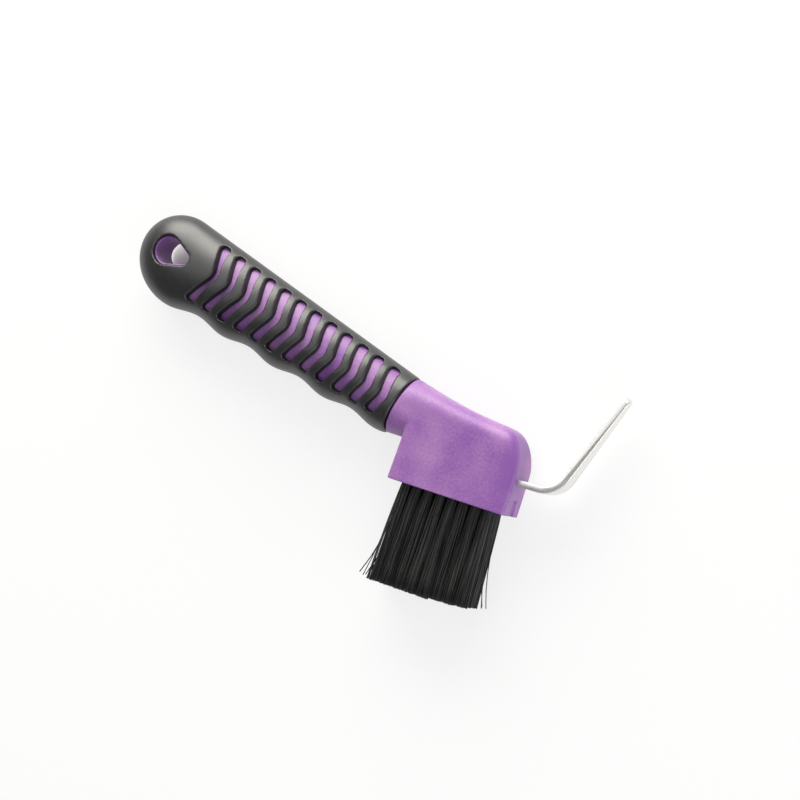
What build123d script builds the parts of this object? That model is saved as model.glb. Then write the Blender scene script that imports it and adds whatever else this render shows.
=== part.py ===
from build123d import *
from math import ceil, cos, pi, radians, sin, sqrt, tan
import os

# Hoof pick with a brush: a moulded core and brush head, a soft ribbed grip, a steel hook and bristles.
#
# Millimetres and degrees.  The pick lies on its side: +X runs forward along the brush head towards the
# hook, the bristles point to -Y, and +Z is up, across the thickness.  The origin is the middle of the flat
# side of the head that the pick lies on.

os.makedirs("parts", exist_ok=True)

# ---------------------------------------------------------------- driving sizes: brush head
HEAD_LENGTH = 43.8  # along the brush face
BACK_LEAN = 2.4  # the back of the head leans forward from there by this angle
THICKNESS = 21.0  # of the head, and of the grip along its whole length
BRUSH_FACE_DROP = 14.75  # from the origin down to the face that holds the bristles
HEAD_FRONT_HEIGHT = 28.05  # from the brush face up to the line of the flat top, at the very front
TOP_SLOPE = 6.0  # the flat part of the top falls towards the front by this angle
FLAT_TOP_LENGTH = 18.7  # behind it the top sweeps up towards the grip
TOP_BEND_RADIUS = 131.0
SWEEP_STATIONS = 6
TOP_ROUND = 5.5  # rounding of the head's top edges
TOP_ROUND_LENGTH = 28.9  # it starts to grow towards the grip this far behind the front
CORNER_ROUND = 3.0  # it shrinks to this at the foot of the front corner
SIDE_ROUND = 2.0  # rounding of the head's upright edges
FRONT_CORNER_LENGTH = 9.0  # elliptical corner between the top and the front
FRONT_CORNER_HEIGHT = 14.5
CORNER_STATIONS = 7
LAST_CORNER_ANGLE = 86.5  # the last section, counted round the corner from its upper end
BLOCK_CLEARANCE = 0.9  # the straight-sided lower block ends this far below the rounding of the top
BLEND_INSET = 0.05  # the rounded top lies this far inside the block's flat sides, and the neck twice as far
NOTCH_WIDTH = 5.0
NOTCH_HEIGHT = 5.5
NOTCH_DEPTH = 1.0

# ---------------------------------------------------------------- driving sizes: grip
GRIP_ANGLE = 15.1  # the grip rises backwards from the line of the brush face
NECK_LENGTH = 4.83  # from the back of the brush face to the centre of the grip's front end
GRIP_RISE = 25.25  # from the brush face up to that centre
GRIP_LENGTH = 118.65
GRIP_FRONT_HEIGHT = 21.86
TOP_TAPER = 0.0462  # the top edge rises by this much for each millimetre back
BELLY_FRONT = 10.45  # valleys of the belly, below the axis, carried on to the front end
BELLY_TAPER = 0.044  # and they fall by this much for each millimetre back
BELLY_STEP = 0.35  # the soft grip's front end reaches this far below the neck
FINGER_COUNT = 3
FINGER_DEPTH = 1.7  # from crest to valley
FIRST_CREST = 5.2  # behind the front end
CAP_SWELL_LENGTH = 14.85  # from the last valley of the belly to the widest section of the end cap
CAP_LENGTH = 20.15  # from there to the very end
CAP_TOP_LENGTH = 16.2  # the top edge rounds off over this length
CAP_BELLY = 17.15
CAP_APEX = 0.3  # the cap's tip lies this far above the grip's axis
GROOVE = 0.6  # narrow shadow gap between the soft grip and the head
STATIONS_PER_FINGER = 8
CAP_STATIONS = 9
LAST_CAP_ANGLE = 86.5  # the last section, counted round the cap from its widest section

# ---------------------------------------------------------------- driving sizes: slots in the grip
SLOT_COUNT = 12  # on each side
FIRST_SLOT = 10.3  # upper end of the slot nearest the head, behind the front end
LAST_SLOT = 9.45  # upper end of the slot nearest the cap, in front of the cap's widest section
SLOT_POINT_FRONT = 3.0  # how far the chevron's point runs forward of its upper end, nearest the head
SLOT_POINT_BACK = 5.5  # and nearest the cap
SLOT_LEAN_FRONT = -0.2  # how far its lower end lies behind its upper end
SLOT_LEAN_BACK = 1.3
SLOT_END_WIDTH = 4.2
SLOT_POINT_WIDTH_FRONT = 3.6
SLOT_POINT_WIDTH_BACK = 2.0  # the points narrow quickly near the cap
SLOT_TOP_MARGIN_FRONT = 1.5  # from the grip's top edge down to a slot's upper end
SLOT_TOP_MARGIN_BACK = 2.0
SLOT_BELLY_MARGIN_FRONT = 3.1  # from the line of the belly's valleys up to a slot's lower end
SLOT_BELLY_MARGIN_BACK = 3.7
SLOT_POINT_HEIGHT_FRONT = -0.3  # above the grip's axis
SLOT_POINT_HEIGHT_BACK = 2.0
SLOT_CORNER = 1.2  # rounding of a slot's ends
SLOT_POINT_ROUND = 5.0  # and of its point
SLOT_FLOOR = 2.0  # the slots are cut down to this level above the middle plane

# ---------------------------------------------------------------- driving sizes: core inside the grip
CORE_THICKNESS_FRONT = 17.4
CORE_THICKNESS_BACK = 15.2
EDGE_COVER = 1.4  # soft cover over the core's top and belly edges

# ---------------------------------------------------------------- driving sizes: hang hole
HOLE_RADIUS = 5.0
HOLE_BEHIND_CAP = 6.35  # centre of its round part, behind the cap's widest section
HOLE_TIP_RADIUS = 2.2
HOLE_TIP_REACH = 7.3  # from that centre forward to the centre of its narrow end
HOLE_TIP_RISE = 0.7  # and up to it, across the grip
HOLE_ABOVE_AXIS = 0.5
HOLE_RIM = 2.7  # wall of the core's ring around the hole
RING_INSET = 2.0  # the ring's faces stay this far under the soft surface
RING_LIP = 0.6  # the soft grip's hole is wider than the ring's by this much all round

# ---------------------------------------------------------------- driving sizes: hook
HOOK_WIDTH = 12.0
HOOK_TIP_WIDTH = 5.2
HOOK_THICKNESS = 2.2
HOOK_HEIGHT = 12.0  # from the brush face up to the middle of the tang
HOOK_REACH = 13.53  # from the head to where the lines of the tang and the blade cross
HOOK_BEND_RADIUS = 8.8
BLADE_ANGLE = 70.4
BLADE_LENGTH = 40.8
BLADE_CORNER = 2.4
TANG_DEPTH = 20.0  # hidden in the head
TANG_HOLE_RADIUS = 2.5  # the head's plastic passes through this hole and holds the tang
TANG_HOLE_DEPTH = 13.0  # behind the front of the head
HOOK_CLEARANCE = 0.05

# ---------------------------------------------------------------- driving sizes: bristles
TUFT_COLUMNS = 8
TUFT_ROWS = 4
COLUMN_PITCH = 4.36
ROW_PITCH = 4.2
TUFT_DIAMETER = 3.2
TUFT_CLEARANCE = 0.05
TUFT_HOLE_DEPTH = 9.0
BRISTLE_LENGTH = 35.55  # outside the head
TRIMMED_COLUMNS = 3  # columns nearest the hook, whose bristles are cut shorter
TRIM = 1.3
BRISTLE_SIDE = 0.48
BRISTLE_ROOT = 1.0  # sunk into the packed foot of the tuft
INNER_BRISTLES = 3
OUTER_BRISTLES = 9
INNER_RING = 0.48
OUTER_RING = 1.22
INNER_RING_TURN = 30.0  # degrees from the outer ring
FLARE_LENGTHWISE = 1.145  # tips of the field against its roots
FLARE_ACROSS = 1.10
TUFT_SPREAD = 1.45  # tips of one tuft against its roots
ANCHOR_THICKNESS = 0.4
ANCHOR_HEIGHT = 1.8
ANCHOR_CLEARANCE = 0.02

# ---------------------------------------------------------------- sizes that follow
MIDDLE = THICKNESS / 2
HALF_LENGTH = HEAD_LENGTH / 2
BRUSH_FACE_Y = -BRUSH_FACE_DROP
FRONT_TOP_Y = BRUSH_FACE_Y + HEAD_FRONT_HEIGHT
TOP_BEND_X = HALF_LENGTH - FLAT_TOP_LENGTH
SWELL_X = HALF_LENGTH - TOP_ROUND_LENGTH
CORNER_X = HALF_LENGTH - FRONT_CORNER_LENGTH
GRIP_FRONT_X = -HALF_LENGTH - NECK_LENGTH
GRIP_FRONT_Y = BRUSH_FACE_Y + GRIP_RISE
GRIP_HALF = GRIP_FRONT_HEIGHT / 2
CAP_CENTRE = GRIP_LENGTH - CAP_LENGTH
LAST_VALLEY = CAP_CENTRE - CAP_SWELL_LENGTH
FINGER_PITCH = (LAST_VALLEY - FIRST_CREST) / (FINGER_COUNT + 0.5)
SLOT_PITCH = (CAP_CENTRE - LAST_SLOT - FIRST_SLOT) / (SLOT_COUNT - 1)
HOLE_BACK = CAP_CENTRE + HOLE_BEHIND_CAP
HOLE_TIP_BACK = HOLE_BACK - HOLE_TIP_REACH
TANG_Y = BRUSH_FACE_Y + HOOK_HEIGHT
TANG_END_X = HALF_LENGTH - TANG_DEPTH
HOOK_BEND_X = HALF_LENGTH + HOOK_REACH
BACK_OVERLAP = 3 * SIDE_ROUND  # the leaning part of the head's outline ends this far behind the front
FAR = GRIP_LENGTH  # longer than any cut needs

# Side view of the grip: local x runs forward along its axis, local y up across it.
GRIP = Plane(
    origin=(GRIP_FRONT_X, GRIP_FRONT_Y, MIDDLE),
    x_dir=(cos(radians(GRIP_ANGLE)), -sin(radians(GRIP_ANGLE)), 0),
    z_dir=(0, 0, 1),
)
NECK_TOP_X = GRIP.from_local_coords((0, GRIP_HALF, 0)).X
NECK_BOTTOM_Y = GRIP.from_local_coords((0, -GRIP_HALF, 0)).Y


def between(front, back, share):
    """Value of a size that changes evenly from front to back."""
    return front + (back - front) * share


def across_grip(back):
    """Plane square to the grip's axis: local x is up across the grip, local y is the thickness."""
    origin = GRIP.from_local_coords((-back, 0, 0))
    return Plane(origin=origin, x_dir=GRIP.y_dir, z_dir=-GRIP.x_dir)


def across_head(x):
    """Upright plane across the head at x, with its local axes laid out like across_grip."""
    return Plane(origin=(x, 0, MIDDLE), x_dir=(0, 1, 0), z_dir=(-1, 0, 0))


# ---------------------------------------------------------------- outer form of the grip
def cap_share(back, length):
    """1 up to the start of a rounding of this length, then a quarter ellipse down to 0 at the tip."""
    along = max(0.0, back - GRIP_LENGTH + length) / length
    return sqrt(max(0.0, 1 - along ** 2))


def grip_top(back):
    """Height of the grip's top edge above its axis."""
    straight = GRIP_HALF + TOP_TAPER * min(back, GRIP_LENGTH - CAP_TOP_LENGTH)
    return CAP_APEX + (straight - CAP_APEX) * cap_share(back, CAP_TOP_LENGTH)


def belly_line(back):
    """Depth of the line along the belly's valleys, below the grip's axis."""
    return BELLY_FRONT + BELLY_TAPER * back


def grip_belly(back):
    """Depth of the belly below the grip's axis."""
    if back >= CAP_CENTRE:
        return (CAP_BELLY + CAP_APEX) * cap_share(back, CAP_LENGTH) - CAP_APEX
    if back > LAST_VALLEY:
        turn = pi * (back - LAST_VALLEY) / CAP_SWELL_LENGTH
        return between(belly_line(LAST_VALLEY), CAP_BELLY, (1 - cos(turn)) / 2)
    if back < FIRST_CREST:
        crest = belly_line(FIRST_CREST) + FINGER_DEPTH
        return between(GRIP_HALF + BELLY_STEP, crest, sin(pi / 2 * back / FIRST_CREST))
    wave = cos(2 * pi * (back - FIRST_CREST) / FINGER_PITCH)
    return belly_line(back) + FINGER_DEPTH * (1 + wave) / 2


def grip_stations():
    """Where the grip's sections stand: evenly along the fingers, then closer and closer to the tip."""
    steps = ceil((CAP_CENTRE - FIRST_CREST) / FINGER_PITCH * STATIONS_PER_FINGER)
    front = [0.0, FIRST_CREST / 2]
    fingers = [between(FIRST_CREST, CAP_CENTRE, number / steps) for number in range(steps + 1)]
    turns = [LAST_CAP_ANGLE * sin(pi / 2 * number / CAP_STATIONS) for number in range(1, CAP_STATIONS + 1)]
    cap = [CAP_CENTRE + CAP_LENGTH * sin(radians(turn)) for turn in turns]
    return front + fingers + cap


def grip_section(back, inset):
    """Elliptical section of the grip, smaller all round by about the inset."""
    top, belly = grip_top(back), grip_belly(back)
    half_side = MIDDLE * cap_share(back, CAP_LENGTH)
    shrink = 1 - inset / MIDDLE
    with Locations(((top - belly) / 2, 0)):
        Ellipse((top + belly) / 2 * shrink, half_side * shrink)


def hang_hole_outline(margin):
    """Teardrop of the hang hole in the grip's side view, grown by margin."""
    with BuildSketch(GRIP, mode=Mode.PRIVATE) as outline:
        with Locations((-HOLE_BACK, HOLE_ABOVE_AXIS)):
            Circle(HOLE_RADIUS + margin)
        with Locations((-HOLE_TIP_BACK, HOLE_ABOVE_AXIS + HOLE_TIP_RISE)):
            Circle(HOLE_TIP_RADIUS + margin)
        make_hull()
    return outline.sketch


with BuildPart() as grip_form:
    for back in grip_stations():
        with BuildSketch(across_grip(back)):
            grip_section(back, 0)
    loft()

# The ring of hard plastic around the hang hole, a little below the soft surface.
with BuildPart() as hole_ring:
    for back in grip_stations():
        if back > LAST_VALLEY:
            with BuildSketch(across_grip(back)):
                grip_section(back, RING_INSET)
    loft()
    add(hang_hole_outline(HOLE_RIM))
    extrude(amount=THICKNESS, both=True, mode=Mode.INTERSECT)

# ---------------------------------------------------------------- hook
BLADE = Plane(
    origin=(HOOK_BEND_X, TANG_Y, MIDDLE),
    x_dir=(cos(radians(BLADE_ANGLE)), sin(radians(BLADE_ANGLE)), 0),
    z_dir=(sin(radians(BLADE_ANGLE)), -cos(radians(BLADE_ANGLE)), 0),
)
TANG = Plane(origin=(HALF_LENGTH, TANG_Y, MIDDLE), x_dir=(1, 0, 0), z_dir=(0, -1, 0))

with BuildPart() as hook:
    with BuildSketch(Plane.XY.offset(MIDDLE)):
        with BuildLine():
            FilletPolyline(
                (TANG_END_X, TANG_Y),
                (HOOK_BEND_X, TANG_Y),
                tuple(BLADE.from_local_coords((BLADE_LENGTH, 0, 0)))[:2],
                radius=HOOK_BEND_RADIUS,
            )
        trace(line_width=HOOK_THICKNESS)
    extrude(amount=HOOK_WIDTH / 2, both=True)
    with BuildSketch(BLADE) as blade_outline:
        with BuildLine():
            Polyline(
                (-FAR, -HOOK_WIDTH / 2),
                (0, -HOOK_WIDTH / 2),
                (BLADE_LENGTH, -HOOK_TIP_WIDTH / 2),
                (BLADE_LENGTH, HOOK_TIP_WIDTH / 2),
                (0, HOOK_WIDTH / 2),
                (-FAR, HOOK_WIDTH / 2),
                close=True,
            )
        make_face()
        fillet(blade_outline.vertices().group_by(Axis.X)[-1], BLADE_CORNER)
    extrude(amount=FAR, both=True, mode=Mode.INTERSECT)
    with BuildSketch(TANG):
        with Locations((-TANG_HOLE_DEPTH, 0)):
            Circle(TANG_HOLE_RADIUS)
    extrude(amount=HOOK_THICKNESS, both=True, mode=Mode.SUBTRACT)

hook.part.label = "hook"
export_step(hook.part, "parts/hook.step")

# ---------------------------------------------------------------- places of the tufts
FIELD = Plane(origin=(0, BRUSH_FACE_Y, MIDDLE), x_dir=(1, 0, 0), z_dir=(0, -1, 0))
TUFT_PLACES = [
    ((column - (TUFT_COLUMNS - 1) / 2) * COLUMN_PITCH, (row - (TUFT_ROWS - 1) / 2) * ROW_PITCH)
    for column in range(TUFT_COLUMNS)
    for row in range(TUFT_ROWS)
]


# ---------------------------------------------------------------- core and brush head, one moulding
def head_top(x):
    """Height of the head's top line at x: a sweep up to the grip, a flat top and an elliptical corner."""
    straight = FRONT_TOP_Y + (HALF_LENGTH - x) * tan(radians(TOP_SLOPE))
    sweep = max(0.0, TOP_BEND_X - x) ** 2 / (2 * TOP_BEND_RADIUS)
    corner = max(0.0, x - CORNER_X) / FRONT_CORNER_LENGTH
    return straight + sweep - FRONT_CORNER_HEIGHT * (1 - sqrt(1 - corner ** 2))


def top_rounding(x):
    """Corner radius of the section at x: a full oval at the grip, and less and less round the corner."""
    if x > CORNER_X:
        return between(TOP_ROUND, CORNER_ROUND, (x - CORNER_X) / FRONT_CORNER_LENGTH)
    swell = max(0.0, SWELL_X - x) / (SWELL_X - GRIP_FRONT_X)
    return between(TOP_ROUND, MIDDLE - 3 * BLEND_INSET, min(1.0, swell) ** 2)


def block_height(x):
    """Where the flat sides of the head may end at x, clear of the rounding of the top."""
    return head_top(x) - top_rounding(x) - BLOCK_CLEARANCE


def sweep_stations():
    """Where the sections stand on the sweep between grip and flat top."""
    steps = range(SWEEP_STATIONS + 1)
    return [between(NECK_TOP_X, TOP_BEND_X, number / SWEEP_STATIONS) for number in steps]


def corner_stations():
    """Where they stand round the front corner, closer and closer to its foot."""
    shares = [sin(pi / 2 * number / CORNER_STATIONS) for number in range(CORNER_STATIONS + 1)]
    return [CORNER_X + FRONT_CORNER_LENGTH * sin(radians(LAST_CORNER_ANGLE * share)) for share in shares]


def head_section(top, bottom, radius, inset):
    """Rounded section across neck or head: height is along local x, and the width is the thickness."""
    with Locations(((top + bottom - inset) / 2, 0)):
        RectangleRounded(top - bottom - inset, THICKNESS - 2 * inset, radius)


def core_section(back):
    """Oval section of the core inside the grip."""
    top = grip_top(back) - EDGE_COVER
    bottom = EDGE_COVER - belly_line(back)
    thickness = between(CORE_THICKNESS_FRONT, CORE_THICKNESS_BACK, back / HOLE_TIP_BACK)
    with Locations(((top + bottom) / 2, 0)):
        Ellipse((top - bottom) / 2, thickness / 2)


# Outline of the head, carried up from the brush face: upright but for its back, which leans.
with BuildPart() as head_prism:
    with BuildSketch(FIELD):
        with Locations((BACK_OVERLAP / 2, 0)):
            RectangleRounded(HEAD_LENGTH - BACK_OVERLAP, THICKNESS, SIDE_ROUND)
    extrude(amount=-FAR)
    with BuildSketch(FIELD):
        with Locations((-BACK_OVERLAP / 2, 0)):
            RectangleRounded(HEAD_LENGTH - BACK_OVERLAP, THICKNESS, SIDE_ROUND)
    extrude(amount=FAR, dir=(sin(radians(BACK_LEAN)), cos(radians(BACK_LEAN)), 0))

# Rounded top of the head, with the front corner, and rounded upright edges below it.
with BuildPart() as head_form:
    for x in sweep_stations() + [(TOP_BEND_X + CORNER_X) / 2] + corner_stations():
        with BuildSketch(across_head(x)):
            head_section(head_top(x), BRUSH_FACE_Y + BLEND_INSET, top_rounding(x), BLEND_INSET)
    loft()
    add(head_prism.part, mode=Mode.INTERSECT)

with BuildPart() as head_core:
    # Straight-sided block above the bristles, up to a little below the rounding of the top.
    add(head_prism.part)
    with BuildSketch(Plane.XY.offset(MIDDLE)):
        with BuildLine():
            Polyline(
                (HALF_LENGTH, block_height(HALF_LENGTH)),
                (CORNER_X, block_height(CORNER_X)),
                (-FAR, block_height(CORNER_X)),
                (-FAR, FAR),
                (FAR, FAR),
                (FAR, block_height(HALF_LENGTH)),
                close=True,
            )
        make_face()
    extrude(amount=THICKNESS, both=True, mode=Mode.SUBTRACT)
    add(head_form.part)
    # Neck, running on inside the head.
    with BuildSketch(across_grip(0)):
        head_section(GRIP_HALF, -GRIP_HALF, top_rounding(GRIP_FRONT_X), 2 * BLEND_INSET)
    for x in sweep_stations()[1:]:
        with BuildSketch(across_head(x)):
            head_section(head_top(x), NECK_BOTTOM_Y, top_rounding(x), 2 * BLEND_INSET)
    loft()
    # Oval bar that carries the grip, and the ring at its end.
    for back in (-GROOVE, HOLE_TIP_BACK):
        with BuildSketch(across_grip(back)):
            core_section(back)
    loft()
    add(hole_ring.part)
    add(hang_hole_outline(0))
    extrude(amount=THICKNESS, both=True, mode=Mode.SUBTRACT)
    # Blind holes of the tufts.
    with BuildSketch(FIELD):
        with Locations(TUFT_PLACES):
            Circle(TUFT_DIAMETER / 2 + TUFT_CLEARANCE)
    extrude(amount=-TUFT_HOLE_DEPTH, mode=Mode.SUBTRACT)
    # Pocket of the hook's tang, with the plug that fills the tang's hole.
    with BuildSketch(TANG):
        with Locations((-(TANG_DEPTH + HOOK_CLEARANCE) / 2, 0)):
            Rectangle(TANG_DEPTH + HOOK_CLEARANCE, HOOK_WIDTH + 2 * HOOK_CLEARANCE)
        with Locations((-TANG_HOLE_DEPTH, 0)):
            Circle(TANG_HOLE_RADIUS - HOOK_CLEARANCE, mode=Mode.SUBTRACT)
    extrude(amount=HOOK_THICKNESS / 2 + HOOK_CLEARANCE, both=True, mode=Mode.SUBTRACT)
    # Notch in the lower edge of the front.
    with BuildSketch(Plane(origin=(HALF_LENGTH, BRUSH_FACE_Y, MIDDLE), x_dir=(0, 1, 0), z_dir=(1, 0, 0))):
        Rectangle(2 * NOTCH_HEIGHT, NOTCH_WIDTH)
    extrude(amount=-NOTCH_DEPTH, mode=Mode.SUBTRACT)

head_core.part.label = "head_core"
export_step(head_core.part, "parts/head_core.step")


# ---------------------------------------------------------------- soft grip
SLOT_ROUNDS = 2 * (SLOT_CORNER, SLOT_POINT_ROUND, SLOT_CORNER)


def slot_corners(number):
    """Corners of a chevron slot in the grip's side view; number 0 is nearest the head."""
    share = number / (SLOT_COUNT - 1)
    back = FIRST_SLOT + number * SLOT_PITCH
    point = between(SLOT_POINT_FRONT, SLOT_POINT_BACK, share) - back
    point_width = between(SLOT_POINT_WIDTH_FRONT, SLOT_POINT_WIDTH_BACK, share ** 3)
    lower_back = back + between(SLOT_LEAN_FRONT, SLOT_LEAN_BACK, share)
    top = grip_top(back) - between(SLOT_TOP_MARGIN_FRONT, SLOT_TOP_MARGIN_BACK, share)
    belly = between(SLOT_BELLY_MARGIN_FRONT, SLOT_BELLY_MARGIN_BACK, share) - belly_line(back)
    middle = between(SLOT_POINT_HEIGHT_FRONT, SLOT_POINT_HEIGHT_BACK, share)
    return [
        (-back, top),
        (point, middle),
        (-lower_back, belly),
        (SLOT_END_WIDTH - lower_back, belly),
        (point + point_width, middle),
        (SLOT_END_WIDTH - back, top),
    ]


with BuildPart() as grip_sleeve:
    add(grip_form.part)
    with BuildSketch(across_grip(0)):
        Rectangle(FAR, FAR)
    extrude(amount=GROOVE, mode=Mode.SUBTRACT)
    add(hang_hole_outline(RING_LIP))
    extrude(amount=THICKNESS, both=True, mode=Mode.SUBTRACT)
    for side in (1, -1):
        with BuildSketch(GRIP.offset(side * SLOT_FLOOR)):
            for number in range(SLOT_COUNT):
                with BuildLine():
                    FilletPolyline(*slot_corners(number), radius=SLOT_ROUNDS, close=True)
                make_face()
        extrude(amount=side * THICKNESS, mode=Mode.SUBTRACT)
    add(head_core.part, mode=Mode.SUBTRACT)

grip_sleeve.part.label = "grip_sleeve"
export_step(grip_sleeve.part, "parts/grip_sleeve.step")


# ---------------------------------------------------------------- tufts of bristles
def bristle_places(place):
    """Root and tip of each bristle of one tuft, in the plane of the brush face."""
    rings = ((INNER_BRISTLES, INNER_RING, INNER_RING_TURN), (OUTER_BRISTLES, OUTER_RING, 0.0))
    for count, radius, start in rings:
        for number in range(count):
            turn = radians(start + 360 * number / count)
            offset = (radius * cos(turn), radius * sin(turn))
            root = (place[0] + offset[0], place[1] + offset[1])
            tip_x = place[0] * FLARE_LENGTHWISE + offset[0] * TUFT_SPREAD
            tip_z = place[1] * FLARE_ACROSS + offset[1] * TUFT_SPREAD
            yield root, (tip_x, tip_z)


def bristle(root, tip, length):
    """One four-sided bristle, cut level at both ends."""
    start = FIELD.from_local_coords((root[0], root[1], -BRISTLE_ROOT))
    end = FIELD.from_local_coords((tip[0], tip[1], length))
    foot = Plane(origin=start, x_dir=FIELD.x_dir, z_dir=FIELD.z_dir) * Rectangle(BRISTLE_SIDE, BRISTLE_SIDE)
    return Solid.extrude(foot.face(), end - start)


for index, place in enumerate(TUFT_PLACES):
    column, row = divmod(index, TUFT_ROWS)
    length = BRISTLE_LENGTH - (TRIM if column >= TUFT_COLUMNS - TRIMMED_COLUMNS else 0)
    bristles = [bristle(root, tip, length) for root, tip in bristle_places(place)]
    with BuildPart() as tuft:
        with BuildSketch(FIELD):
            with Locations(place):
                Circle(TUFT_DIAMETER / 2)
        extrude(amount=-TUFT_HOLE_DEPTH)
        with BuildSketch(FIELD.offset(-TUFT_HOLE_DEPTH)):
            with Locations(place):
                Rectangle(TUFT_DIAMETER, ANCHOR_THICKNESS + 2 * ANCHOR_CLEARANCE)
        extrude(amount=ANCHOR_HEIGHT + ANCHOR_CLEARANCE, mode=Mode.SUBTRACT)
        add(bristles)
    tuft.part.label = f"tuft_{column + 1}_{row + 1}"
    export_step(tuft.part, f"parts/{tuft.part.label}.step")

# ---------------------------------------------------------------- flat wires that hold the tufts
with BuildPart() as tuft_anchors:
    with BuildSketch(FIELD.offset(-TUFT_HOLE_DEPTH)):
        with Locations(TUFT_PLACES):
            Rectangle(TUFT_DIAMETER, ANCHOR_THICKNESS)
    extrude(amount=ANCHOR_HEIGHT)

tuft_anchors.part.label = "tuft_anchors"
export_step(tuft_anchors.part, "parts/tuft_anchors.step")
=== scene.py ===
import math
import random

import bmesh
import bpy
from mathutils import Matrix, Vector


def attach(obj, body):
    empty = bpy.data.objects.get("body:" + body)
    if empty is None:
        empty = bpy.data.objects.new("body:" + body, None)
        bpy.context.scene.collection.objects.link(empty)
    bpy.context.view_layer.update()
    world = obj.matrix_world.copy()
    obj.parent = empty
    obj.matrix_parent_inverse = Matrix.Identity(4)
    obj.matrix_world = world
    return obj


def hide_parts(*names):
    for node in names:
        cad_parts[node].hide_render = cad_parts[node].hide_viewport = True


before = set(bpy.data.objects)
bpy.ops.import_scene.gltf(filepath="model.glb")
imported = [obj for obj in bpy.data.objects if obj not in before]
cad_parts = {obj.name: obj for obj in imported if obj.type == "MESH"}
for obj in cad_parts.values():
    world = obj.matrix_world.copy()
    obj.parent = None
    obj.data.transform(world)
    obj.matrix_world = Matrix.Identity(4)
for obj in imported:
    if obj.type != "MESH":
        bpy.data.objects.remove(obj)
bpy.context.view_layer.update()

MM = 0.001
SCENE = bpy.context.scene
MIDDLE_Z = 10.5 * MM  # the pick's middle plane, about which it is the same on both sides

# ---------------------------------------------------------------- camera
# The pick lies on its side on the floor, and the camera looks down on it, a little from the hook's end.
TARGET = Vector((-28.825, 12.0, 10.5)) * MM  # this point is at the middle of the picture
CAMERA_DISTANCE = 709.5 * MM
CAMERA_TILT = math.radians(18.3)  # from the vertical, towards the hook
CAMERA_ROLL = math.radians(17.6)
CAMERA_LENS = 91.2  # focal length in millimetres
SENSOR = 36.0  # its width in millimetres
NEAREST, FARTHEST = 0.05, 20.0  # the camera sees between these distances, in metres

view_axis = Vector((math.sin(CAMERA_TILT), 0, math.cos(CAMERA_TILT)))  # from the object to the camera
level = Vector((math.cos(CAMERA_TILT), 0, -math.sin(CAMERA_TILT)))
across = Vector((0, 1, 0))
view_right = math.cos(CAMERA_ROLL) * level + math.sin(CAMERA_ROLL) * across
view_up = math.cos(CAMERA_ROLL) * across - math.sin(CAMERA_ROLL) * level


def make_camera():
    data = bpy.data.cameras.new("camera")
    data.lens = CAMERA_LENS
    data.sensor_width = SENSOR
    data.clip_start = NEAREST
    data.clip_end = FARTHEST
    camera = bpy.data.objects.new("camera", data)
    SCENE.collection.objects.link(camera)
    turn = Matrix((view_right, view_up, view_axis)).transposed().to_4x4()
    camera.matrix_world = Matrix.Translation(TARGET + CAMERA_DISTANCE * view_axis) @ turn
    SCENE.camera = camera


# ---------------------------------------------------------------- light
LAMP_DISTANCE = 1.2
LAMPS = (  # name, direction in the picture (right, up and towards the camera), size, radiance, colour
    ("key", (-0.16, 0.945, 0.28), (1.40, 0.80), 7.0, (1.0, 0.97, 0.90)),
    ("overhead", (-0.50, 0.45, 0.74), (1.05, 1.05), 0.95, (1.0, 1.0, 1.0)),
    ("fill", (0.10, -0.55, 0.83), (1.2, 1.0), 1.25, (1.0, 1.0, 1.0)),
    ("right", (0.85, -0.40, 0.35), (0.8, 0.8), 4.2, (1.0, 0.98, 1.0)),
)
WORLD_COLOUR = 0.93, 0.94, 1.0
WORLD_STRENGTH = 0.16


def softbox(name, direction, size, radiance, colour):
    """Area lamp that faces the target from a direction given in the picture."""
    right, up, towards = direction
    arm = view_right * right + view_up * up + view_axis * towards
    place = arm.normalized() * LAMP_DISTANCE + TARGET
    data = bpy.data.lights.new(name, "AREA")
    data.shape = "RECTANGLE"
    data.size, data.size_y = size
    data.energy = radiance * math.pi * size[0] * size[1]
    data.color = colour
    lamp = bpy.data.objects.new(name, data)
    SCENE.collection.objects.link(lamp)
    lamp.location = place
    lamp.rotation_mode = "QUATERNION"
    lamp.rotation_quaternion = (place - TARGET).to_track_quat("Z", "Y")


def make_lights():
    for lamp in LAMPS:
        softbox(*lamp)
    world = bpy.data.worlds.new("studio")
    SCENE.world = world
    world.use_nodes = True
    background = world.node_tree.nodes["Background"]
    background.inputs["Color"].default_value = (*WORLD_COLOUR, 1)
    background.inputs["Strength"].default_value = WORLD_STRENGTH


# ---------------------------------------------------------------- helpers for materials
def new_material(name):
    material = bpy.data.materials.new(name)
    material.use_nodes = True
    return material, material.node_tree


def add_noise(tree, scale, detail, stretch=None):
    """Noise in the object's own coordinates, which are metres: scale is in cycles per metre."""
    place = tree.nodes.new("ShaderNodeTexCoord")
    noise = tree.nodes.new("ShaderNodeTexNoise")
    noise.inputs["Scale"].default_value = scale
    noise.inputs["Detail"].default_value = detail
    source = place.outputs["Object"]
    if stretch:
        mapping = tree.nodes.new("ShaderNodeMapping")
        mapping.inputs["Scale"].default_value = stretch
        tree.links.new(source, mapping.inputs["Vector"])
        source = mapping.outputs["Vector"]
    tree.links.new(source, noise.inputs["Vector"])
    return noise.outputs["Fac"]


def colour_ramp(tree, source, lower, upper):
    """Colours between two stops, each a place on the ramp and the colour there."""
    ramp = tree.nodes.new("ShaderNodeValToRGB")
    for element, (place, colour) in zip(ramp.color_ramp.elements, (lower, upper)):
        element.position = place
        element.color = (*colour, 1)
    tree.links.new(source, ramp.inputs["Fac"])
    return ramp.outputs["Color"]


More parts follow.
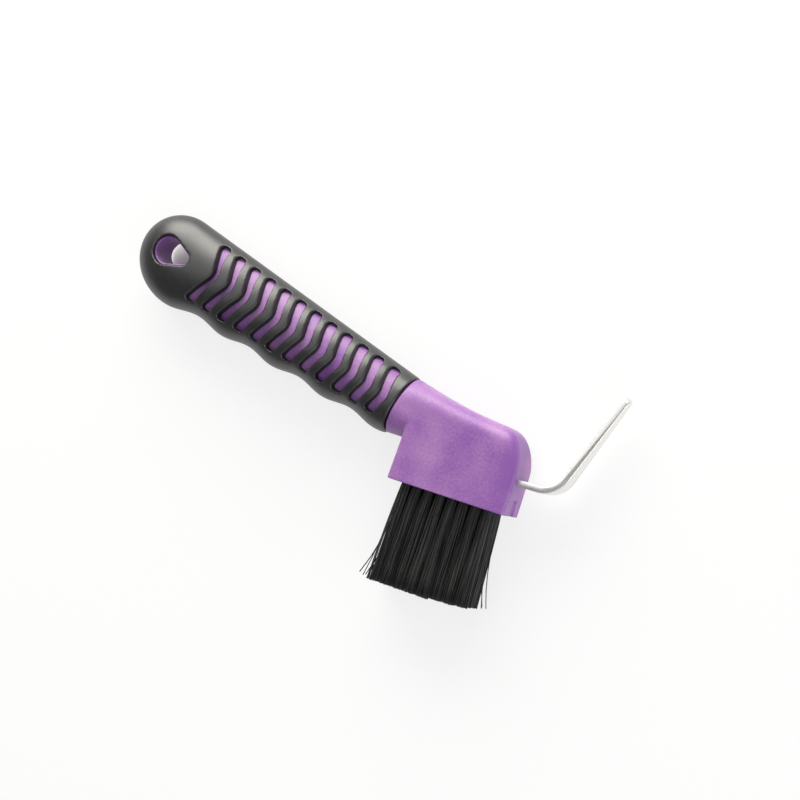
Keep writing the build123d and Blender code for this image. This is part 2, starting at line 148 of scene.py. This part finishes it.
def map_range(tree, source, low, high, start=0.0, end=1.0):
    """Turn values from start to end into values from low to high."""
    spread = tree.nodes.new("ShaderNodeMapRange")
    spread.inputs["From Min"].default_value = start
    spread.inputs["From Max"].default_value = end
    spread.inputs["To Min"].default_value = low
    spread.inputs["To Max"].default_value = high
    tree.links.new(source, spread.inputs["Value"])
    return spread.outputs["Result"]


def combine(tree, operation, first, second):
    node = tree.nodes.new("ShaderNodeMath")
    node.operation = operation
    tree.links.new(first, node.inputs[0])
    tree.links.new(second, node.inputs[1])
    return node.outputs["Value"]


def add_bump(tree, shader, height, strength, distance):
    bump = tree.nodes.new("ShaderNodeBump")
    bump.inputs["Strength"].default_value = strength
    bump.inputs["Distance"].default_value = distance
    tree.links.new(height, bump.inputs["Height"])
    tree.links.new(bump.outputs["Normal"], shader.inputs["Normal"])


# ---------------------------------------------------------------- floor
FLOOR_SIZE = 20.0
FLOOR_DROP = 0.2 * MM  # it lies this far below the pick, so that no two faces share a plane
FLOOR_COLOUR = 0.94, 0.94, 0.94
FLOOR_GLOW = 0.78  # share of plain white that the camera and reflections see in the floor
HOLE_PLACE = Vector((-127.8, 38.3, 0)) * MM  # on the floor, below the hang hole, the middle of a painted shade spot
HOLE_PAINTED_SHADE = 5.5 * MM, 7.0 * MM  # painted shade: the floor's glow is taken out below the hang hole and sets in between these distances from there


def floor_material():
    """Matt and pale, so that it keeps the pick's shadow, with a white glow except on a spot of painted shade
    below the hang hole.
    """
    material, tree = new_material("floor")
    tree.nodes.clear()
    matt = tree.nodes.new("ShaderNodeBsdfDiffuse")
    matt.inputs["Color"].default_value = (*FLOOR_COLOUR, 1)
    glow = tree.nodes.new("ShaderNodeEmission")
    glow.inputs["Strength"].default_value = 1.0
    path = tree.nodes.new("ShaderNodeLightPath")
    seen = combine(tree, "MAXIMUM", path.outputs["Is Camera Ray"], path.outputs["Is Glossy Ray"])
    place = tree.nodes.new("ShaderNodeTexCoord")
    distance = tree.nodes.new("ShaderNodeVectorMath")
    distance.operation = "DISTANCE"
    distance.inputs[1].default_value = HOLE_PLACE
    tree.links.new(place.outputs["Object"], distance.inputs[0])
    # painted shade: the glow fades out on a spot below the hang hole, so the floor is darker there
    glow_outside_painted_shade = map_range(tree, distance.outputs["Value"], 0.0, FLOOR_GLOW, *HOLE_PAINTED_SHADE)
    mix = tree.nodes.new("ShaderNodeMixShader")
    tree.links.new(combine(tree, "MULTIPLY", seen, glow_outside_painted_shade), mix.inputs["Fac"])
    tree.links.new(matt.outputs["BSDF"], mix.inputs[1])
    tree.links.new(glow.outputs["Emission"], mix.inputs[2])
    out = tree.nodes.new("ShaderNodeOutputMaterial")
    tree.links.new(mix.outputs["Shader"], out.inputs["Surface"])
    return material


def make_floor():
    mesh = bpy.data.meshes.new("floor")
    half = FLOOR_SIZE / 2
    corners = [(-half, -half, 0), (half, -half, 0), (half, half, 0), (-half, half, 0)]
    mesh.from_pydata(corners, [], [(0, 1, 2, 3)])
    mesh.materials.append(floor_material())
    floor = bpy.data.objects.new("floor", mesh)
    SCENE.collection.objects.link(floor)
    floor.location.z = -FLOOR_DROP


# ---------------------------------------------------------------- materials of the pick
PURPLE_DEEP = 0.235, 0.082, 0.360
PURPLE_LIGHT = 0.395, 0.190, 0.455
SPECKLE_SHARE = 0.35  # of the fine speckle in the plastic's tone; the rest is slow clouds
DEEPER_FRONT = 14 * MM, 20 * MM  # the colour is darker along X between these places, towards the front of the head
DEEPER = 0.11  # by this part of the colour ramp

RUBBER_DARK = 0.011, 0.011, 0.0115
RUBBER_LIGHT = 0.019, 0.019, 0.0195

STEEL = 0.84, 0.83, 0.79

NYLON_DARK = 0.005, 0.005, 0.005
# lighter streak colour: partly the nylon's tone, partly a painted sheen
NYLON_STREAK_SHEEN = 0.042, 0.041, 0.040


def plastic_material():
    """Moulded purple plastic: slow flow clouds under a fine speckle, satin skin with a leathery grain."""
    material, tree = new_material("purple_plastic")
    shader = tree.nodes["Principled BSDF"]
    speckle = add_noise(tree, scale=1100, detail=3.0)
    blend = tree.nodes.new("ShaderNodeMix")
    blend.inputs["Factor"].default_value = SPECKLE_SHARE
    tree.links.new(add_noise(tree, scale=75, detail=1.0), blend.inputs["A"])
    tree.links.new(speckle, blend.inputs["B"])
    place = tree.nodes.new("ShaderNodeTexCoord")
    parts = tree.nodes.new("ShaderNodeSeparateXYZ")
    tree.links.new(place.outputs["Object"], parts.inputs["Vector"])
    deeper = map_range(tree, parts.outputs["X"], 0.0, DEEPER, *DEEPER_FRONT)
    tone = combine(tree, "SUBTRACT", blend.outputs["Result"], deeper)
    colour = colour_ramp(tree, tone, (0.34, PURPLE_DEEP), (0.62, PURPLE_LIGHT))
    tree.links.new(colour, shader.inputs["Base Color"])
    tree.links.new(map_range(tree, speckle, 0.38, 0.50), shader.inputs["Roughness"])
    shader.inputs["Specular IOR Level"].default_value = 0.6
    grain = add_noise(tree, scale=900, detail=3.0, stretch=(0.5, 1.0, 1.0))
    add_bump(tree, shader, grain, strength=0.35, distance=0.08 * MM)
    return material


def rubber_material():
    """Soft black rubber: slightly mottled, with a broad satin sheen and a fine matt grain."""
    material, tree = new_material("soft_rubber")
    shader = tree.nodes["Principled BSDF"]
    mottle = add_noise(tree, scale=500, detail=3.0)
    colour = colour_ramp(tree, mottle, (0.3, RUBBER_DARK), (0.7, RUBBER_LIGHT))
    tree.links.new(colour, shader.inputs["Base Color"])
    sheen = add_noise(tree, scale=700, detail=2.0)
    tree.links.new(map_range(tree, sheen, 0.34, 0.43), shader.inputs["Roughness"])
    shader.inputs["IOR"].default_value = 1.75
    grain = add_noise(tree, scale=2200, detail=2.0)
    add_bump(tree, shader, grain, strength=0.3, distance=0.05 * MM)
    return material


def steel_material():
    """Plated steel strip with a satin skin, uneven in its gloss."""
    material, tree = new_material("satin_steel")
    shader = tree.nodes["Principled BSDF"]
    shader.inputs["Base Color"].default_value = (*STEEL, 1)
    shader.inputs["Metallic"].default_value = 1.0
    skin = add_noise(tree, scale=800, detail=3.0)
    tree.links.new(map_range(tree, skin, 0.24, 0.38), shader.inputs["Roughness"])
    add_bump(tree, shader, skin, strength=0.15, distance=0.03 * MM)
    return material


def bristle_material():
    """Black nylon, with streaks along the strands in tone and roughness; their lighter colour is partly a
    painted sheen.
    """
    material, tree = new_material("bristle")
    shader = tree.nodes["Principled BSDF"]
    streaks = add_noise(tree, scale=1400, detail=2.0, stretch=(1.0, 0.04, 1.0))
    # lighter streaks are partly a painted sheen along the strands
    colour = colour_ramp(tree, streaks, (0.38, NYLON_DARK), (0.62, NYLON_STREAK_SHEEN))
    tree.links.new(colour, shader.inputs["Base Color"])
    tree.links.new(map_range(tree, streaks, 0.38, 0.55), shader.inputs["Roughness"])
    shader.inputs["Specular IOR Level"].default_value = 0.45
    return material


def dress(mesh, material):
    mesh.materials.clear()
    mesh.materials.append(material)


# ---------------------------------------------------------------- helpers for meshes
WELD = 0.001 * MM
VOXEL = 0.3 * MM
KEPT_FACES = 0.4  # share of the remeshed faces


def add_piece(name, mesh, material, node):
    """New piece from a mesh in world coordinates, which stands for a CAD node."""
    piece = bpy.data.objects.new(name, mesh)
    SCENE.collection.objects.link(piece)
    dress(mesh, material)
    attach(piece, "root")
    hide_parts(node)


def cad_form(node):
    """Mesh of a CAD node as one closed skin, in world coordinates."""
    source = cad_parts[node]
    form = bmesh.new()
    form.from_mesh(source.data)
    form.transform(source.matrix_world)
    bmesh.ops.remove_doubles(form, verts=form.verts, dist=WELD)
    return form


def keep_behind(form, point, normal):
    """Cut a closed form with a plane, keep the side that the normal points away from, and close it."""
    everything = form.verts[:] + form.edges[:] + form.faces[:]
    bmesh.ops.bisect_plane(form, geom=everything, plane_co=point, plane_no=normal, clear_outer=True)
    bmesh.ops.holes_fill(form, edges=[edge for edge in form.edges if edge.is_boundary])


def add_form(form, other):
    """Put a second form's faces into the first. The second is used up."""
    spare = bpy.data.meshes.new("spare")
    other.to_mesh(spare)
    other.free()
    form.from_mesh(spare)
    bpy.data.meshes.remove(spare)


def soften(name, form, passes):
    """Mesh with the form's shape and rounded edges: remeshed, smoothed, then thinned."""
    mesh = bpy.data.meshes.new("draft")
    form.to_mesh(mesh)
    form.free()
    draft = bpy.data.objects.new("draft", mesh)
    SCENE.collection.objects.link(draft)
    remesh = draft.modifiers.new("remesh", "REMESH")
    remesh.mode = "VOXEL"
    remesh.voxel_size = VOXEL
    smooth = draft.modifiers.new("smooth", "SMOOTH")
    smooth.iterations = passes
    thin = draft.modifiers.new("thin", "DECIMATE")
    thin.ratio = KEPT_FACES
    result = bpy.data.meshes.new_from_object(draft.evaluated_get(bpy.context.evaluated_depsgraph_get()))
    bpy.data.objects.remove(draft)
    bpy.data.meshes.remove(mesh)
    result.name = name
    result.shade_smooth()
    return result


# ---------------------------------------------------------------- soft grip and hard core
GRIP_ANGLE = math.radians(15.1)
GRIP_FRONT = Vector((-26.73, 10.5, 10.5)) * MM  # centre of the grip's front end
BEHIND_FRONT = 1.2 * MM  # the filling of the grip starts this far behind it
GRIP_PASSES = 22  # of smoothing
HEAD_PASSES = 9
CORE_SKIN = 0.12 * MM  # the core's visible skin stands this far out of the grip's filling

HOOK_OUT = Vector((1, 0, 0))
HEAD_FRONT = 21.9 * MM * HOOK_OUT  # on the face that the hook comes out of

grip_forward = Vector((math.cos(GRIP_ANGLE), -math.sin(GRIP_ANGLE), 0))


def soft_grip(material):
    """The soft grip, filled with the core, so that its slots end in a solid floor and have rounded lips."""
    form = cad_form("grip_sleeve")
    filling = cad_form("head_core")
    keep_behind(filling, GRIP_FRONT - grip_forward * BEHIND_FRONT, grip_forward)
    add_form(form, filling)
    mesh = soften("soft_grip", form, GRIP_PASSES)
    add_piece("soft_grip", mesh, material, "grip_sleeve")


def hard_core(material):
    """Core and brush head with softened edges, filled where the hook's tang sits.

    Inside the grip its skin lies just over the grip's filling.
    """
    form = cad_form("head_core")
    tang = cad_form("hook")
    keep_behind(tang, HEAD_FRONT, HOOK_OUT)
    add_form(form, tang)
    mesh = soften("hard_core", form, HEAD_PASSES)
    normals = [vertex.normal.copy() for vertex in mesh.vertices]
    for vertex, normal in zip(mesh.vertices, normals):
        behind = (GRIP_FRONT - vertex.co).dot(grip_forward) - BEHIND_FRONT
        vertex.co += normal * CORE_SKIN * min(1.0, max(0.0, behind / BEHIND_FRONT))
    add_piece("hard_core", mesh, material, "head_core")


# ---------------------------------------------------------------- hook
HOOK_MIDDLE_Y = -2.75 * MM  # middle of the tang
HOOK_BEND_START = 29.22 * MM
HOOK_BEND_RADIUS = 8.8 * MM
BLADE_ANGLE = math.radians(70.4)
BEND_EASE = 1 / 6  # share of the bend, at each of its ends, over which the strain sets in
THINNING = 0.35  # a bent strip widens on the inside of the bend and narrows on the outside
EDGE_RADIUS = 0.2 * MM
EDGE_STEPS = 3
SHARP = math.radians(30)  # edges past this angle are rounded
FLAT = math.radians(0.5)  # faces within this angle are one flat face


def bend_strain(point):
    """Stretch of the strip's surface at a point, positive on the outside of the bend, 0 on straight runs."""
    centre = Vector((HOOK_BEND_START, HOOK_MIDDLE_Y + HOOK_BEND_RADIUS))
    arm = Vector(point[:2]) - centre
    turn = math.atan2(arm.x, -arm.y) / BLADE_ANGLE
    if not 0 < turn < 1:
        return 0.0
    ease = min(1.0, turn / BEND_EASE, (1 - turn) / BEND_EASE)
    return ease * (arm.length - HOOK_BEND_RADIUS) / HOOK_BEND_RADIUS


def hook_piece(material):
    """Steel strip with rounded edges, slightly bulged where it is bent."""
    form = cad_form("hook")
    bmesh.ops.dissolve_limit(form, angle_limit=FLAT, verts=form.verts, edges=form.edges)
    sharp = [edge for edge in form.edges if len(edge.link_faces) == 2 and edge.calc_face_angle() > SHARP]
    bmesh.ops.bevel(form, geom=sharp, offset=EDGE_RADIUS, segments=EDGE_STEPS, profile=0.5, affect="EDGES")
    for vertex in form.verts:
        width = 1 - THINNING * bend_strain(vertex.co)
        vertex.co.z = MIDDLE_Z + (vertex.co.z - MIDDLE_Z) * width
    mesh = bpy.data.meshes.new("hook_steel")
    form.to_mesh(mesh)
    form.free()
    mesh.shade_smooth()
    mesh.set_sharp_from_angle(angle=SHARP)
    add_piece("hook_steel", mesh, material, "hook")


# ---------------------------------------------------------------- bristles
TUFT_COLUMNS, TUFT_ROWS = 8, 4
COLUMN_PITCH, ROW_PITCH = 4.36 * MM, 4.2 * MM
BRUSH_FACE_Y = -14.75 * MM
BRISTLE_LENGTH = 35.55 * MM  # outside the head
TRIMMED_COLUMNS = 3  # columns nearest the hook, cut shorter and shorter
TRIM = 1.3 * MM  # off the last of them
TUFT_RADIUS = 1.3 * MM  # to the middle of its outer strands
TIP_RADIUS = 2.35 * MM  # of a tuft, at its tips
SPREAD_POWER = 0.45  # under 1, a tuft widens mostly near the head
FLARE_LENGTHWISE, FLARE_ACROSS = 1.075, 1.06  # the tufts' tips stand this much wider apart
STRANDS = 46  # in each tuft
STRAND_ROOT = 3.0 * MM  # inside the head
STRAND_RADIUS = 0.19 * MM
THINNEST, THICKEST = 0.85, 1.1  # times that radius
STRAND_SIDES = 5
STRAND_STEPS = 6
UNEVEN = 0.28 * MM  # the longest and shortest strands of a tuft differ by this much
WAVE = 0.22 * MM  # sideways wander of a strand
GOLDEN_TURN = math.pi * (3 - math.sqrt(5))
STRAYS = {  # tuft: how far the tips of its stray strands lean out along the head, in millimetres
    (1, 4): (-2.4, -4.4, -4.8),
    (1, 3): (-3.6, -2.8),
    (8, 1): (2.2, 4.0, 4.5),
    (8, 2): (3.4, 2.6),
}
STRAY_EVERY, STRAY_FIRST = 9, 4  # the strands of such a tuft that stray, by number
STRAY_POWER = 3  # a stray bends away mostly near its tip
STRAY_LIFT = 0.25  # and its tip draws back by this share of its lean
chance = random.Random(11)


def wander():
    """Random sideways offset, across the strands."""
    return Vector((chance.uniform(-1, 1), 0, chance.uniform(-1, 1))) * WAVE


def strand(form, line, radius):
    """Tube of a few sides along a line of points, closed at the tip."""
    rings = []
    for point in line:
        ring = []
        for side in range(STRAND_SIDES):
            turn = 2 * math.pi * side / STRAND_SIDES
            ring.append(form.verts.new(point + radius * Vector((math.cos(turn), 0, math.sin(turn)))))
        rings.append(ring)
    for upper, lower in zip(rings, rings[1:]):
        for side in range(STRAND_SIDES):
            other = (side + 1) % STRAND_SIDES
            form.faces.new((upper[side], upper[other], lower[other], lower[side]))
    form.faces.new(rings[-1])


def strand_line(root, tip, spot, bow, lean):
    """Points of a strand at its spot in the tuft, whose middle line runs from root to tip.

    The tuft spreads soon after the head, each strand is bowed, and a stray leans out along the head.
    """
    line = []
    for step in range(STRAND_STEPS + 1):
        share = step / STRAND_STEPS
        spread = TUFT_RADIUS + (TIP_RADIUS - TUFT_RADIUS) * share ** SPREAD_POWER
        point = root.lerp(tip, share) + spot * spread + bow * math.sin(math.pi * share)
        point.x += lean * share ** STRAY_POWER
        line.append(point)
    return line


def tuft_piece(column, row, material):
    """One tuft of fine strands that spread a little towards their tips."""
    place_x = (column - (TUFT_COLUMNS + 1) / 2) * COLUMN_PITCH
    offset_z = (row - (TUFT_ROWS + 1) / 2) * ROW_PITCH
    length = BRISTLE_LENGTH - TRIM * max(0, column - TUFT_COLUMNS + TRIMMED_COLUMNS) / TRIMMED_COLUMNS
    cut = chance.uniform(0, UNEVEN)
    root = Vector((place_x, BRUSH_FACE_Y + STRAND_ROOT, MIDDLE_Z + offset_z))
    tuft_tip = Vector((
        place_x * FLARE_LENGTHWISE, BRUSH_FACE_Y - length + cut, MIDDLE_Z + offset_z * FLARE_ACROSS))
    leans = list(STRAYS.get((column, row), ()))
    form = bmesh.new()
    for number in range(STRANDS):
        reach = math.sqrt((number + 0.5) / STRANDS)
        turn = number * GOLDEN_TURN
        spot = Vector((reach * math.cos(turn), 0, reach * math.sin(turn)))
        tip = tuft_tip + wander()
        tip.y += chance.uniform(0, UNEVEN)
        bow = wander()
        strays = leans and number % STRAY_EVERY == STRAY_FIRST
        lean = leans.pop() * MM if strays else 0.0
        tip.y += abs(lean) * STRAY_LIFT
        radius = STRAND_RADIUS * chance.uniform(THINNEST, THICKEST)
        strand(form, strand_line(root, tip, spot, bow, lean), radius)
    name = f"bristles_{column}_{row}"
    mesh = bpy.data.meshes.new(name)
    form.to_mesh(mesh)
    form.free()
    mesh.shade_smooth()
    add_piece(name, mesh, material, f"tuft_{column}_{row}")


# ---------------------------------------------------------------- everything together
def build():
    make_camera()
    make_lights()
    make_floor()
    steel = steel_material()
    nylon = bristle_material()
    dress(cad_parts["tuft_anchors"].data, steel)
    soft_grip(rubber_material())
    hard_core(plastic_material())
    hook_piece(steel)
    for column in range(1, TUFT_COLUMNS + 1):
        for row in range(1, TUFT_ROWS + 1):
            tuft_piece(column, row, nylon)
    SCENE.view_settings.view_transform = "Standard"


build()
